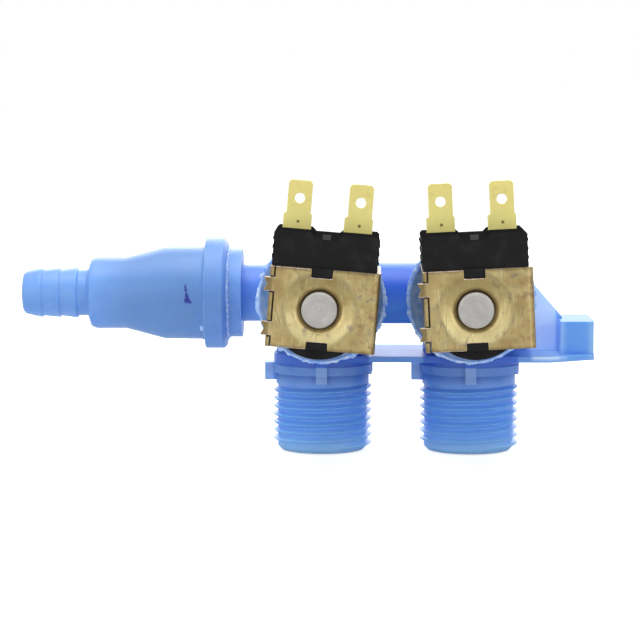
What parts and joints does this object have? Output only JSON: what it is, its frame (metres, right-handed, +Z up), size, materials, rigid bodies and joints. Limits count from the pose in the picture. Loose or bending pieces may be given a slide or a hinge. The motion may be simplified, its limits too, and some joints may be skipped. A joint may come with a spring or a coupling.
{
  "type": "washing machine inlet valve",
  "caption": "Water inlet valve with twin solenoids on a blue moulded manifold, threaded hose inlets, a barbed outlet and spade terminals.",
  "frame": {"origin": "underside of the mounting plate, midway between the axes of the two inlets", "axes": "+X along the outlet pipe towards the mounting ear, -Y towards the solenoids' buttons, +Z up, away from the threaded inlets"},
  "size_m": [0.156, 0.0655, 0.0752],
  "materials": {
    "blue_plastic": "blue moulded plastic, slightly translucent, fine moulded gloss",
    "rubber": "matte black rubber",
    "natural_plastic": "natural uncoloured plastic",
    "white_plastic": "white moulded plastic, satin",
    "steel_wire": "drawn stainless spring wire",
    "plated_steel": "steel sheet with yellow passivated zinc plating, stained",
    "copper": "enamelled copper wire",
    "black_plastic": "matte black glass-filled moulding",
    "brass": "plain brass strip, satin",
    "stainless": "turned magnetic stainless steel"
  },
  "bodies": {
    "valve": {"valve_body": "blue_plastic", "outlet_bell": "blue_plastic", "flow_washer": "rubber", "inlet_screen_left": "natural_plastic", "diaphragm_left": "rubber", "guide_tube_left": "white_plastic", "armature_spring_left": "steel_wire", "flux_sleeve_left": "plated_steel", "bobbin_left": "natural_plastic", "winding_left": "copper", "coil_left": "black_plastic", "bracket_left": "plated_steel", "terminal_left_one": "brass", "terminal_left_two": "brass", "inlet_screen_right": "natural_plastic", "diaphragm_right": "rubber", "guide_tube_right": "white_plastic", "armature_spring_right": "steel_wire", "flux_sleeve_right": "plated_steel", "bobbin_right": "natural_plastic", "winding_right": "copper", "coil_right": "black_plastic", "bracket_right": "plated_steel", "terminal_right_one": "brass", "terminal_right_two": "brass"},
    "armature_left": {"armature_left": "stainless", "armature_tip_left": "rubber"},
    "insert_left": {"diaphragm_insert_left": "natural_plastic"},
    "armature_right": {"armature_right": "stainless", "armature_tip_right": "rubber"},
    "insert_right": {"diaphragm_insert_right": "natural_plastic"}
  },
  "joints": [
    {"name": "armature_left_slide", "type": "slide", "parent": "valve", "child": "armature_left", "axis": [0, -1, 0], "range_m": [0, 0.0025], "stiffness_N_per_m": 120, "springref_m": -0.008, "deforming": ["armature_spring_left", "diaphragm_left"]},
    {"name": "insert_left_slide", "type": "slide", "parent": "valve", "child": "insert_left", "axis": [0, -1, 0], "range_m": [0, 0.002]},
    {"name": "armature_right_slide", "type": "slide", "parent": "valve", "child": "armature_right", "axis": [0, -1, 0], "range_m": [0, 0.0025], "stiffness_N_per_m": 120, "springref_m": -0.008, "deforming": ["armature_spring_right", "diaphragm_right"]},
    {"name": "insert_right_slide", "type": "slide", "parent": "valve", "child": "insert_right", "axis": [0, -1, 0], "range_m": [0, 0.002]}
  ],
  "couplings": [
    {"joint": "insert_left_slide", "follows": "armature_left_slide", "ratio": 0.8},
    {"joint": "insert_right_slide", "follows": "armature_right_slide", "ratio": 0.8}
  ]
}
